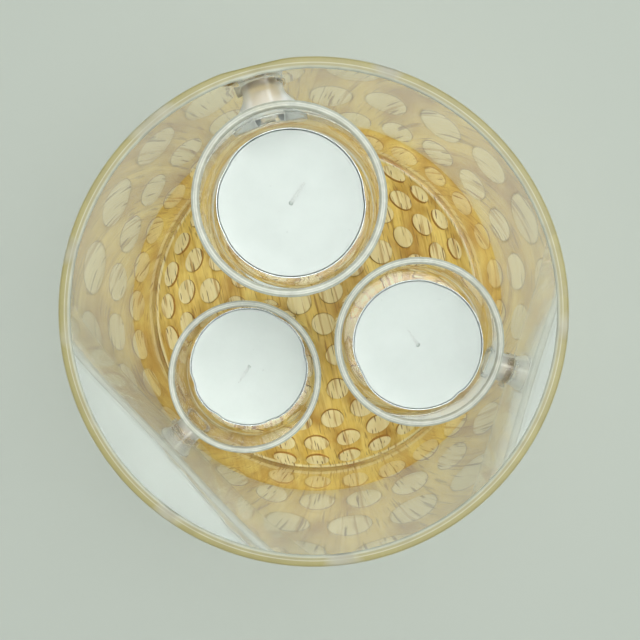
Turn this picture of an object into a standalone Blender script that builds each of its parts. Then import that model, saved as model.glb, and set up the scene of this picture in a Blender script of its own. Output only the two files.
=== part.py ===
"""Tealight holder: a glass cylinder with three fused cups, standing round a carved wooden dome.

Metres, +Z up. The origin is the centre of the footprint, on the surface that the holder stands on.
The wooden base carries a raised plug whose domed top is covered in round carved nubs. The glass
cylinder stands on the ledge round that plug and lifts straight off. Three glass cups are fused to
its inner wall, each at its own height, and each holds a tealight that lifts straight out.
"""

import math
from dataclasses import dataclass

import bmesh
import bpy
from mathutils import Matrix, Vector

# Driving dimensions, in metres.
GAP = 0.0003                    # clearance between pieces that touch

FOOT_RADIUS = 0.007
FOOT_HEIGHT = 0.002
FOOT_CIRCLE_RADIUS = 0.050
FOOT_COUNT = 4

BASE_RADIUS = 0.0685
BASE_THICKNESS = 0.018
BASE_EDGE_RADIUS = 0.0015
PLUG_RADIUS = 0.0565            # the raised middle that keeps the glass in place
PLUG_HEIGHT = 0.0065            # from the ledge up to the foot of the dome
DOME_RISE = 0.0155              # from the foot of the dome to its top
DOME_SPREAD = 0.0585            # half the width of the ellipsoid that the dome is part of

NUB_RADIUS = 0.0042
NUB_HEIGHT = 0.0010
NUB_SPACING = 0.0112
NUB_SIDES = 8
NUB_TAPER = 0.94                # width of a nub's flat top over the width of its root
NUB_ROOT = 0.0012               # how far a nub's body reaches into the dome
NUB_ROWS = 7
NUB_ROW_TURN_DEG = 137.508      # each ring of nubs is turned by this from the ring inside it
NUB_POLE_OFFSET = (-0.006, 0.002)   # where the ring pattern is centred, from the dome's axis
NUB_BALL_RADIUS = 0.060         # the ball on which the nubs are evenly spaced
NUB_EDGE_LIMIT = 0.0541         # nubs stay within this distance of the axis
NUB_LEAST_WIDTH = 0.35          # narrowest nub towards the dome's foot, over its length

GLASS_OUTER_RADIUS = 0.060
GLASS_WALL = 0.0028
GLASS_HEIGHT = 0.147
GLASS_RIM_ROUND = 0.0007

CUP_OUTER_RADIUS = 0.0233
CUP_WALL = 0.0020
CUP_FLOOR = 0.0025
CUP_HEIGHT = 0.0385
CUP_RIM_ROUND = 0.0005
CUP_HEEL_RADIUS = 0.0045        # outer round between wall and floor
CUP_INNER_HEEL_RADIUS = 0.0015

BRIDGE_HEIGHT = 0.022
BRIDGE_DROP = 0.003             # from a cup's rim down to the top of its bridge
BRIDGE_WAIST = 0.86             # width at the middle of a bridge over the width at its ends
BRIDGE_SQUARENESS = 0.7         # 1 makes a bridge's section round, 0 makes it square
BRIDGE_STATIONS = 4             # segments along a bridge
BRIDGE_SIDES = 12

CAN_TOP_RADIUS = 0.0190
CAN_FOOT_RADIUS = 0.0182
CAN_HEIGHT = 0.016
CAN_WALL = 0.0004
CAN_HEEL_RADIUS = 0.0010
WAX_DROP = 0.0002               # from the can's edge down to the wax
WAX_DRAFT = 0.0002              # extra room beside the wax at the can's foot
TAB_RADIUS = 0.006
TAB_THICKNESS = 0.0005
COLLAR_HEIGHT = 0.003
COLLAR_WALL = 0.0005
WICK_RADIUS = 0.0007
WICK_TAIL = 0.0065              # length of wick that lies pressed into the wax
WICK_BEND_RADIUS = 0.0012

ROUND_STEPS = 3                 # segments of a small rounded corner
DOME_STEPS = 9
BEND_STEPS = 3                  # segments of the wick's bend

# Heights that follow from the sizes above.
BASE_BOTTOM = FOOT_HEIGHT + GAP
LEDGE_Z = BASE_BOTTOM + BASE_THICKNESS
GLASS_BOTTOM = LEDGE_Z + GAP
GLASS_TOP = GLASS_BOTTOM + GLASS_HEIGHT
GLASS_INNER_RADIUS = GLASS_OUTER_RADIUS - GLASS_WALL


@dataclass(frozen=True)
class CupPlace:
    """Where one cup and its tealight sit."""

    name: str
    angle_deg: float            # direction of the cup's axis, seen from the cylinder's axis
    offset: float               # from the cylinder's axis to the cup's axis
    rim_drop: float             # from the cylinder's rim down to the cup's rim
    bridge_angle_deg: float     # direction of the fused bridge
    bridge_width: float
    candle_shift: tuple         # from the cup's axis to the tealight's axis
    wick_angle_deg: float       # direction in which the end of the wick lies

    @property
    def axis(self) -> Vector:
        angle = math.radians(self.angle_deg)
        return Vector((self.offset * math.cos(angle), self.offset * math.sin(angle), 0.0))

    @property
    def rim_z(self) -> float:
        return GLASS_TOP - self.rim_drop

    @property
    def bottom_z(self) -> float:
        return self.rim_z - CUP_HEIGHT

    @property
    def candle_axis(self) -> Vector:
        return self.axis + Vector((*self.candle_shift, 0.0))

    @property
    def candle_z(self) -> float:
        return self.bottom_z + CUP_FLOOR + GAP


CUPS = (
    CupPlace("upper", 102.1, 0.0275, 0.0025, 106.0, 0.0110, (-0.0001, 0.0005), 58.0),
    CupPlace("middle", -16.9, 0.0299, 0.0469, -18.0, 0.0088, (0.0011, -0.0016), 122.0),
    CupPlace("lower", 223.7, 0.0300, 0.0830, 223.0, 0.0095, (0.0001, 0.0019), 238.0),
)


def clear_scene() -> None:
    """Remove every object that the file starts with."""
    for item in list(bpy.data.objects):
        bpy.data.objects.remove(item, do_unlink=True)


def make_material(name, colour, roughness, metallic=0.0, transmission=0.0):
    """A Principled BSDF with one colour."""
    material = bpy.data.materials.new(name)
    material.use_nodes = True
    shader = material.node_tree.nodes["Principled BSDF"]
    shader.inputs["Base Color"].default_value = (*colour, 1.0)
    shader.inputs["Roughness"].default_value = roughness
    shader.inputs["Metallic"].default_value = metallic
    shader.inputs["Transmission Weight"].default_value = transmission
    return material


def finish_mesh(name, mesh_builder, material, location=(0.0, 0.0, 0.0), sharp_deg=35.0):
    """Turn a bmesh into a named, smooth-shaded object at a place."""
    mesh = bpy.data.meshes.new(name)
    mesh_builder.to_mesh(mesh)
    mesh_builder.free()
    mesh.materials.append(material)
    mesh.shade_smooth()
    mesh.set_sharp_from_angle(angle=math.radians(sharp_deg))
    item = bpy.data.objects.new(name, mesh)
    item.location = location
    bpy.context.scene.collection.objects.link(item)
    return item


def arc(centre_r, centre_z, radius, start_deg, end_deg, steps=ROUND_STEPS):
    """Points on an arc in the profile plane, both ends included."""
    points = []
    for step in range(steps + 1):
        angle = math.radians(start_deg + (end_deg - start_deg) * step / steps)
        points.append((centre_r + radius * math.cos(angle), centre_z + radius * math.sin(angle)))
    return points


def turned(name, profile, segments, material, location=(0.0, 0.0, 0.0), closed=False):
    """Spin a profile of (radius, height) points round +Z.

    A closed profile makes a ring. An open one starts and ends on the axis.
    """
    builder = bmesh.new()
    verts = [builder.verts.new((radius, 0.0, height)) for radius, height in profile]
    edges = [builder.edges.new(pair) for pair in zip(verts, verts[1:])]
    if closed:
        edges.append(builder.edges.new((verts[-1], verts[0])))
    bmesh.ops.spin(builder, geom=verts + edges, cent=(0, 0, 0), axis=(0, 0, 1),
                   angle=math.tau, steps=segments, use_duplicate=False)
    bmesh.ops.remove_doubles(builder, verts=builder.verts, dist=1e-6)
    bmesh.ops.dissolve_degenerate(builder, edges=builder.edges, dist=1e-7)
    bmesh.ops.recalc_face_normals(builder, faces=builder.faces)
    return finish_mesh(name, builder, material, location)


def dome_height(across):
    """Height of the dome's surface at a distance from its axis.

    The dome is the top of an ellipsoid whose half axes are DOME_SPREAD across and half_height up.
    """
    foot_share = math.sqrt(1.0 - (PLUG_RADIUS / DOME_SPREAD) ** 2)
    half_height = DOME_RISE / (1.0 - foot_share)
    share = math.sqrt(1.0 - (across / DOME_SPREAD) ** 2)
    return LEDGE_Z + PLUG_HEIGHT + half_height * (share - foot_share)


def nub_places():
    """The directions of every nub, from the middle of the ball that they are spaced on.

    The nubs lie on rings round a pole that is a little off the dome's axis. The rings are one
    spacing apart on the ball and each holds as many nubs as fit.
    """
    pole = Vector((*NUB_POLE_OFFSET, 0.0))
    pole.z = math.sqrt(NUB_BALL_RADIUS ** 2 - pole.length_squared)
    turn = Vector((0.0, 0.0, 1.0)).rotation_difference(pole)
    places = []
    for row in range(NUB_ROWS + 1):
        polar = row * NUB_SPACING / NUB_BALL_RADIUS
        count = max(1, round(math.tau * NUB_BALL_RADIUS * math.sin(polar) / NUB_SPACING))
        for index in range(count):
            azimuth = math.tau * index / count + row * math.radians(NUB_ROW_TURN_DEG)
            direction = turn @ Vector((math.sin(polar) * math.cos(azimuth),
                                       math.sin(polar) * math.sin(azimuth), math.cos(polar)))
            across = NUB_BALL_RADIUS * math.hypot(direction.x, direction.y)
            if direction.z > 0.0 and across < NUB_EDGE_LIMIT:
                places.append(direction)
    return places


def add_nub(builder, direction):
    """Add one nub: a short tapered disc, narrower uphill the nearer it is to the dome's foot."""
    out = Vector((direction.x, direction.y, 0.0))
    out = out.normalized() if out.length > 1e-6 else Vector((1.0, 0.0, 0.0))
    across = NUB_BALL_RADIUS * math.hypot(direction.x, direction.y)
    centre = out * across
    centre.z = dome_height(across)
    reach = 0.0001
    slope = (dome_height(across + reach) - dome_height(across)) / reach
    normal = (Vector((0.0, 0.0, 1.0)) - out * slope).normalized()
    tangent = Vector((-out.y, out.x, 0.0))
    uphill = normal.cross(tangent)
    squeeze = max(direction.z, NUB_LEAST_WIDTH) / math.hypot(uphill.x, uphill.y)
    rings = []
    for height, width in ((-NUB_ROOT, 1.0), (NUB_HEIGHT, NUB_TAPER)):
        ring = []
        for side in range(NUB_SIDES):
            angle = math.tau * side / NUB_SIDES
            offset = tangent * (math.cos(angle) * NUB_RADIUS * width)
            offset += uphill * (math.sin(angle) * NUB_RADIUS * width * squeeze)
            ring.append(builder.verts.new(centre + normal * height + offset))
        rings.append(ring)
    lower, upper = rings
    builder.faces.new(upper)
    builder.faces.new(list(reversed(lower)))
    for side in range(NUB_SIDES):
        after = (side + 1) % NUB_SIDES
        builder.faces.new((lower[side], lower[after], upper[after], upper[side]))


def make_wood_base(material):
    """The turned base with its ledge and domed plug, and the nubs joined to the dome."""
    low, high, edge = BASE_BOTTOM, LEDGE_Z, BASE_EDGE_RADIUS
    profile = [(0.0, low)]
    profile += arc(BASE_RADIUS - edge, low + edge, edge, -90, 0, 2)
    profile += arc(BASE_RADIUS - edge, high - edge, edge, 0, 90)
    profile.append((PLUG_RADIUS, high))
    for step in range(DOME_STEPS, -1, -1):
        across = PLUG_RADIUS * math.sin(math.radians(90.0 * step / DOME_STEPS))
        profile.append((across, dome_height(across)))
    base = turned("wood_base", profile, 60, material)

    builder = bmesh.new()
    for direction in nub_places():
        add_nub(builder, direction)
    bmesh.ops.recalc_face_normals(builder, faces=builder.faces)
    nubs = finish_mesh("nub_cutter", builder, material)
    nubs.hide_render = True
    nubs.display_type = "WIRE"

    join = base.modifiers.new("join_nubs", "BOOLEAN")
    join.operation = "UNION"
    join.solver = "EXACT"
    join.object = nubs
    return base


def make_feet(material):
    """Round felt pads under the base."""
    for index in range(FOOT_COUNT):
        angle = math.tau * (index + 0.5) / FOOT_COUNT
        place = (FOOT_CIRCLE_RADIUS * math.cos(angle), FOOT_CIRCLE_RADIUS * math.sin(angle), 0.0)
        profile = [(0.0, 0.0), (FOOT_RADIUS, 0.0), (FOOT_RADIUS, FOOT_HEIGHT), (0.0, FOOT_HEIGHT)]
        turned(f"felt_foot_{index + 1}", profile, 20, material, place)


def make_cylinder(material):
    """The open glass tube with softly rounded rims."""
    outer, inner, soft = GLASS_OUTER_RADIUS, GLASS_INNER_RADIUS, GLASS_RIM_ROUND
    low, high = GLASS_BOTTOM, GLASS_TOP
    profile = arc(inner + soft, low + soft, soft, 180, 270, 1)
    profile += arc(outer - soft, low + soft, soft, 270, 360, 1)
    profile += arc(outer - soft, high - soft, soft, 0, 90, 2)
    profile += arc(inner + soft, high - soft, soft, 90, 180, 2)
    return turned("glass_cylinder", profile, 64, material, closed=True)


def make_cup(place, material):
    """One straight glass cup with a rounded heel."""
    outer, inner, soft = CUP_OUTER_RADIUS, CUP_OUTER_RADIUS - CUP_WALL, CUP_RIM_ROUND
    heel, inner_heel = CUP_HEEL_RADIUS, CUP_INNER_HEEL_RADIUS
    profile = [(0.0, 0.0)]
    profile += arc(outer - heel, heel, heel, -90, 0)
    profile += arc(outer - soft, CUP_HEIGHT - soft, soft, 0, 90, 1)
    profile += arc(inner + soft, CUP_HEIGHT - soft, soft, 90, 180, 1)
    profile += arc(inner - inner_heel, CUP_FLOOR + inner_heel, inner_heel, 0, -90, 2)
    profile.append((0.0, CUP_FLOOR))
    location = place.axis + Vector((0.0, 0.0, place.bottom_z))
    return turned(f"{place.name}_cup", profile, 40, material, location)


def make_bridge(place, material):
    """The waisted bar of glass that joins one cup to the cylinder's wall.

    It runs along the bridge's direction from just off the cup's wall to just off the
    cylinder's, so its two end faces follow those round walls.
    """
    angle = math.radians(place.bridge_angle_deg)
    along = Vector((math.cos(angle), math.sin(angle), 0.0))
    across = Vector((-along.y, along.x, 0.0))
    middle_z = place.rim_z - BRIDGE_DROP - BRIDGE_HEIGHT / 2
    cup_along, cup_across = place.axis.dot(along), place.axis.dot(across)
    cup_reach, wall_reach = CUP_OUTER_RADIUS + GAP, GLASS_INNER_RADIUS - GAP
    builder = bmesh.new()
    rings = []
    for station in range(BRIDGE_STATIONS + 1):
        share = station / BRIDGE_STATIONS
        width = BRIDGE_WAIST + (1.0 - BRIDGE_WAIST) * (2.0 * share - 1.0) ** 2
        ring = []
        for side in range(BRIDGE_SIDES):
            turn = math.tau * side / BRIDGE_SIDES
            squared = [math.copysign(abs(part) ** BRIDGE_SQUARENESS, part)
                       for part in (math.cos(turn), math.sin(turn))]
            sideways = cup_across + squared[0] * place.bridge_width / 2 * width
            upward = squared[1] * BRIDGE_HEIGHT / 2 * width
            start = cup_along + math.sqrt(cup_reach ** 2 - (sideways - cup_across) ** 2)
            end = math.sqrt(wall_reach ** 2 - sideways ** 2)
            point = along * (start + (end - start) * share) + across * sideways
            point.z = middle_z + upward
            ring.append(builder.verts.new(point))
        rings.append(ring)
    for ring, after in zip(rings, rings[1:]):
        for side in range(BRIDGE_SIDES):
            other = (side + 1) % BRIDGE_SIDES
            builder.faces.new((ring[side], ring[other], after[other], after[side]))
    for ring in (rings[0], rings[-1]):
        for side in range(BRIDGE_SIDES // 2):
            corners = (ring[side], ring[side + 1], ring[-side - 1], ring[-side])
            builder.faces.new(dict.fromkeys(corners))
    bmesh.ops.recalc_face_normals(builder, faces=builder.faces)
    return finish_mesh(f"{place.name}_bridge", builder, material)


def make_can(place, material):
    """The thin aluminium can of a tealight, a little wider at its edge than at its foot."""
    heel, wall = CAN_HEEL_RADIUS, CAN_WALL
    profile = [(0.0, 0.0)]
    profile += arc(CAN_FOOT_RADIUS - heel, heel, heel, -90, 0, 2)
    profile += [(CAN_TOP_RADIUS, CAN_HEIGHT), (CAN_TOP_RADIUS - wall, CAN_HEIGHT)]
    profile += [(CAN_FOOT_RADIUS - wall, heel), (CAN_FOOT_RADIUS - heel, wall), (0.0, wall)]
    location = place.candle_axis + Vector((0.0, 0.0, place.candle_z))
    return turned(f"{place.name}_can", profile, 40, material, location)


def make_wick_tab(place, material):
    """The metal tab under the wax, with the collar that grips the wick."""
    inside = WICK_RADIUS + GAP
    low = CAN_WALL + GAP
    outside = inside + COLLAR_WALL
    profile = [(inside, low), (TAB_RADIUS, low), (TAB_RADIUS, low + TAB_THICKNESS)]
    profile += [(outside, low + TAB_THICKNESS), (outside, low + COLLAR_HEIGHT)]
    profile += [(inside, low + COLLAR_HEIGHT)]
    location = place.candle_axis + Vector((0.0, 0.0, place.candle_z))
    return turned(f"{place.name}_wick_tab", profile, 20, material, location, closed=True)


def make_wick(place, material):
    """The wick: up through the collar, then bent over and lying in the wax."""
    bend = WICK_BEND_RADIUS
    lying_z = CAN_HEIGHT - WAX_DROP - WICK_RADIUS
    spine = [(0.0, CAN_WALL + GAP + TAB_THICKNESS), (0.0, COLLAR_HEIGHT + bend)]
    for step in range(BEND_STEPS + 1):
        angle = math.radians(90.0 * step / BEND_STEPS)
        spine.append((bend * (1.0 - math.cos(angle)), lying_z - bend + bend * math.sin(angle)))
    spine.append((WICK_TAIL, lying_z))
    curve = bpy.data.curves.new(f"{place.name}_wick", "CURVE")
    curve.dimensions = "3D"
    curve.bevel_depth = WICK_RADIUS
    curve.bevel_resolution = 2
    curve.use_fill_caps = True
    spline = curve.splines.new("POLY")
    spline.points.add(len(spine) - 1)
    for point, (reach, height) in zip(spline.points, spine):
        point.co = (reach, 0.0, height, 1.0)
    curve.materials.append(material)
    wick = bpy.data.objects.new(f"{place.name}_wick", curve)
    wick.location = place.candle_axis + Vector((0.0, 0.0, place.candle_z))
    wick.rotation_euler = (0.0, 0.0, math.radians(place.wick_angle_deg))
    bpy.context.scene.collection.objects.link(wick)
    return wick


def make_wax(place, material):
    """The wax: poured round the tab and the wick, with a groove that the wick's end lies in."""
    clear_tab = CAN_WALL + GAP + TAB_THICKNESS + GAP
    clear_collar = CAN_WALL + GAP + COLLAR_HEIGHT + GAP
    top = CAN_HEIGHT - WAX_DROP
    bore = WICK_RADIUS + GAP
    wide_bore = bore + COLLAR_WALL + GAP
    slope = (CAN_TOP_RADIUS - CAN_FOOT_RADIUS) / (CAN_HEIGHT - CAN_HEEL_RADIUS)
    rim = CAN_TOP_RADIUS - CAN_WALL - GAP
    foot = rim - slope * (top - clear_tab) - WAX_DRAFT
    profile = [(wide_bore, clear_tab), (foot, clear_tab), (rim, top), (bore, top)]
    profile += [(bore, clear_collar), (wide_bore, clear_collar)]
    location = place.candle_axis + Vector((0.0, 0.0, place.candle_z))
    wax = turned(f"{place.name}_wax", profile, 40, material, location, closed=True)

    depth = 2.0 * WICK_RADIUS + WICK_BEND_RADIUS
    reach = WICK_TAIL + GAP
    builder = bmesh.new()
    bmesh.ops.create_cube(builder, size=1.0)
    size = Vector((reach, 2.0 * bore, depth))
    bmesh.ops.transform(builder, matrix=Matrix.Diagonal((*size, 1.0)), verts=builder.verts)
    centre = Vector((reach / 2, 0.0, depth / 2 - 2.0 * WICK_RADIUS - GAP))
    bmesh.ops.translate(builder, vec=centre, verts=builder.verts)
    slot_place = location + Vector((0.0, 0.0, top))
    slot = finish_mesh(f"{place.name}_slot_cutter", builder, material, slot_place)
    slot.rotation_euler = (0.0, 0.0, math.radians(place.wick_angle_deg))
    slot.hide_render = True
    slot.display_type = "WIRE"
    cut = wax.modifiers.new("wick_groove", "BOOLEAN")
    cut.operation = "DIFFERENCE"
    cut.solver = "EXACT"
    cut.object = slot
    return wax


def main() -> None:
    """Build the holder from the base up."""
    clear_scene()
    wood = make_material("wood", (0.52, 0.30, 0.09), 0.5)
    felt = make_material("felt", (0.12, 0.10, 0.08), 0.95)
    glass = make_material("glass", (0.93, 0.96, 0.88), 0.02, transmission=1.0)
    aluminium = make_material("aluminium", (0.80, 0.81, 0.82), 0.25, metallic=1.0)
    wax = make_material("wax", (0.78, 0.84, 0.80), 0.5)
    cotton = make_material("cotton", (0.82, 0.84, 0.80), 0.9)

    make_wood_base(wood)
    make_feet(felt)
    make_cylinder(glass)
    for place in CUPS:
        make_cup(place, glass)
        make_bridge(place, glass)
        make_can(place, aluminium)
        make_wick_tab(place, aluminium)
        make_wick(place, cotton)
        make_wax(place, wax)


main()
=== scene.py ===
"""Looks of the tealight holder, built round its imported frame.

A clear glass cylinder with three fused cups stands round a carved wooden dome, and each cup
holds a tealight. Every surface is worked out with numpy as whole arrays, in metres, in the
frame's own coordinates, and dressed with node materials.
"""

import logging
import math
from dataclasses import dataclass, field
from enum import Enum

import bpy
import numpy as np
from mathutils import Matrix, Vector


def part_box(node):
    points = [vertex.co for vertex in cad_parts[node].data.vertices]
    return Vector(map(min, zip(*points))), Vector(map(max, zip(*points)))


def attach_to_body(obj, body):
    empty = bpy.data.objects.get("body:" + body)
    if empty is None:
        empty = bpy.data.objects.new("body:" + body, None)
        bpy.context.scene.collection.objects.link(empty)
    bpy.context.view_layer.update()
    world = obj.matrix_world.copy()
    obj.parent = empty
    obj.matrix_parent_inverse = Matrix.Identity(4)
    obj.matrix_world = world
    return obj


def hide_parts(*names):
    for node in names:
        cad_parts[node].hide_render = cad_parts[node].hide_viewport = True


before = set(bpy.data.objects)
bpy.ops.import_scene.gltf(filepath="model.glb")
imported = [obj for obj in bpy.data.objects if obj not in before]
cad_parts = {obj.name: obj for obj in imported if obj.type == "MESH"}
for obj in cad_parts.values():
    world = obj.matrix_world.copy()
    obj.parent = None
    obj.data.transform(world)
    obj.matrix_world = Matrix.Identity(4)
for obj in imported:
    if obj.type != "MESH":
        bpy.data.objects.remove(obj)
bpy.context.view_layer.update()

MM = 0.001
TAU = math.tau
GOLDEN_TURN = math.radians(137.508)
log = logging.getLogger("tealight_holder")


class Body(Enum):
    """The frame's rigid bodies."""

    BASE = "base"
    GLASS = "glass"
    UPPER = "upper_tealight"
    MIDDLE = "middle_tealight"
    LOWER = "lower_tealight"


class Slot(Enum):
    """The record's material slots."""

    WOOD = "wood"
    FELT = "felt"
    GLASS = "glass"
    ALUMINIUM = "aluminium"
    COTTON = "cotton"
    WAX = "wax"


class Level(Enum):
    """The three heights at which a cup is fused."""

    UPPER = "upper"
    MIDDLE = "middle"
    LOWER = "lower"


class CarvedFace(Enum):
    """Which kind of carved surface a face of the wood belongs to, in material order."""

    GROUND = 0
    NUB_TOP = 1
    NUB_SIDE = 2


class GlassZone(Enum):
    """Which finish a face of the fused glass has, in material order."""

    CLEAR = 0
    TUBE_RIM = 1
    CUP_RIM = 2
    JOINT = 3
    BAR = 4


# -------- Surfaces --------


@dataclass
class Shell:
    """A surface as arrays: its points, its four-sided faces and its triangles.

    ``groups`` holds one material number for each face, the quads first.
    """

    points: np.ndarray
    quads: np.ndarray
    tris: np.ndarray
    groups: np.ndarray | None = None

    def volume(self) -> float:
        """Signed volume: a sixth of the sum of a . (b x c) over all triangles.

        Returns:
            The volume, below 0 if the faces point inwards.
        """
        halves = [self.tris, self.quads[:, [0, 1, 2]], self.quads[:, [0, 2, 3]]]
        corners = self.points[np.concatenate(halves).astype(int)]
        return float(np.einsum("ij,ij->", corners[:, 0], np.cross(corners[:, 1], corners[:, 2])) / 6)

    def outward(self) -> "Shell":
        """The same shell with its faces turned outwards."""
        if self.volume() < 0:
            return Shell(self.points, self.quads[:, ::-1], self.tris[:, ::-1], self.groups)
        return self

    def to_object(self, name: str, materials: list[bpy.types.Material],
                  sharp_deg: float = 40.0) -> bpy.types.Object:
        """Make the shell a smooth-shaded object at the origin.

        Args:
            name: the object's name.
            materials: its materials, in the order that the groups count them.
            sharp_deg: edges that turn by more than this stay crisp.

        Returns:
            The new object, linked to the scene.
        """
        mesh = bpy.data.meshes.new(name)
        mesh.from_pydata(self.points, [], self.quads.tolist() + self.tris.tolist())
        for material in materials:
            mesh.materials.append(material)
        if self.groups is not None:
            mesh.polygons.foreach_set("material_index", self.groups.astype(np.int32))
        mesh.shade_smooth()
        mesh.set_sharp_from_angle(angle=math.radians(sharp_deg))
        mesh.update()
        item = bpy.data.objects.new(name, mesh)
        bpy.context.scene.collection.objects.link(item)
        return item


def ring_faces(rows: int, columns: int, closed: bool) -> tuple[np.ndarray, np.ndarray]:
    """Faces of a stack of rings.

    Point (row, column) has the number row * columns + column. An open stack has a pole before its
    first ring and one after its last, numbered after all the rings.

    Args:
        rows: how many rings there are.
        columns: how many points each ring has.
        closed: whether the last ring joins the first, as on a torus, instead of ending in poles.

    Returns:
        The four-sided faces and the triangles round the poles.
    """
    row, column = np.divmod(np.arange((rows if closed else rows - 1) * columns), columns)
    beside, above = (column + 1) % columns, (row + 1) % rows
    quads = np.stack([row * columns + column, row * columns + beside,
                      above * columns + beside, above * columns + column], axis=1)
    if closed:
        return quads, np.zeros((0, 3), int)
    column = np.arange(columns)
    beside = (column + 1) % columns
    first, last = rows * columns, rows * columns + 1
    start = np.stack([np.full(columns, first), beside, column], axis=1)
    top = (rows - 1) * columns
    end = np.stack([top + column, top + beside, np.full(columns, last)], axis=1)
    return quads, np.concatenate([start, end])


def lathe(profile: np.ndarray, segments: int, centre: Vector | None = None,
          closed: bool = False) -> Shell:
    """Turn a profile round +Z.

    Point (i, j) is (r_i cos a_j, r_i sin a_j, z_i) with a_j = 2 pi j / segments.

    Args:
        profile: (radius, height) points. An open profile starts and ends on the axis.
        segments: points round each ring.
        centre: where the axis stands; its height is added too.
        closed: whether the profile is a loop that never meets the axis.

    Returns:
        The turned shell, facing outwards.
    """
    rings = profile if closed else profile[1:-1]
    angle = TAU * np.arange(segments) / segments
    across = rings[:, 0, None]
    points = np.stack([across * np.cos(angle), across * np.sin(angle),
                       np.repeat(rings[:, 1, None], segments, axis=1)], axis=-1).reshape(-1, 3)
    if not closed:
        poles = [[0.0, 0.0, profile[0, 1]], [0.0, 0.0, profile[-1, 1]]]
        points = np.concatenate([points, poles])
    quads, tris = ring_faces(len(rings), segments, closed)
    if centre is not None:
        points = points + np.array(centre)
    return Shell(points, quads, tris).outward()


def arc(centre_r: float, centre_z: float, radius: float, start_deg: float, end_deg: float,
        steps: int = 8) -> np.ndarray:
    """Profile points on an arc, both ends included: centre + radius (cos a, sin a)."""
    angle = np.radians(np.linspace(start_deg, end_deg, steps + 1))
    return np.stack([centre_r + radius * np.cos(angle), centre_z + radius * np.sin(angle)], axis=1)


def line(start: tuple[float, float], end: tuple[float, float], steps: int) -> np.ndarray:
    """Evenly spaced profile points from start towards end, without either end."""
    share = np.arange(1, steps)[:, None] / steps
    return np.array(start) * (1 - share) + np.array(end) * share


def soft_step(value: np.ndarray, low: float, high: float) -> np.ndarray:
    """0 below low, 1 above high, and t t (3 - 2 t) between them."""
    share = np.clip((value - low) / (high - low), 0.0, 1.0)
    return share * share * (3.0 - 2.0 * share)


def ripple(points: np.ndarray, wavelength: float, seed: int, waves: int = 9) -> np.ndarray:
    """A smooth uneven field over space, about -1 to 1: a sum of sine waves over sqrt(their number).

    Args:
        points: places, one a row.
        wavelength: the middle length of the waves.
        seed: draws their directions, lengths and phases.
        waves: how many there are.

    Returns:
        The field's value at each place.
    """
    draw = np.random.default_rng(seed)
    directions = draw.normal(size=(waves, 3))
    directions /= np.linalg.norm(directions, axis=1)[:, None]
    lengths = wavelength * draw.uniform(0.7, 1.5, waves)
    phases = draw.uniform(0.0, TAU, waves)
    field_values = np.sin(points @ (directions * (TAU / lengths)[:, None]).T + phases)
    return field_values.sum(axis=1) / math.sqrt(waves)


def upright(node: str) -> tuple[Vector, float, float]:
    """Measure an upright round node.

    Args:
        node: its name in the frame.

    Returns:
        The middle of its foot, its radius and its height.
    """
    low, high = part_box(node)
    foot = (low + high) / 2
    foot.z = low.z
    return foot, (high.x - low.x) / 2, high.z - low.z


def fuse(base: bpy.types.Object, others: list[bpy.types.Object]) -> bpy.types.Object:
    """Join closed shells into one closed surface and remove the shells that were added.

    Args:
        base: the object that takes in the others.
        others: the objects that are joined to it, each overlapping what came before.

    Returns:
        The base, with the joined mesh and no modifiers.
    """
    for number, other in enumerate(others):
        union = base.modifiers.new(f"fuse_{number}", "BOOLEAN")
        union.operation = "UNION"
        union.solver = "MANIFOLD"
        union.object = other
    graph = bpy.context.evaluated_depsgraph_get()
    mesh = bpy.data.meshes.new_from_object(base.evaluated_get(graph))
    base.modifiers.clear()
    base.data = mesh
    for other in others:
        bpy.data.objects.remove(other, do_unlink=True)
    return base


def attach(piece: bpy.types.Object, body: Body, nodes: list[str]) -> bpy.types.Object:
    """Put a finished piece on its body.

    Args:
        piece: the finished object.
        body: the body that it moves with.
        nodes: the frame's nodes that it stands in for.

    Returns:
        The same piece.
    """
    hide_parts(*nodes)
    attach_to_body(piece, body.value)
    return piece


# -------- Finishes --------


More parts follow.
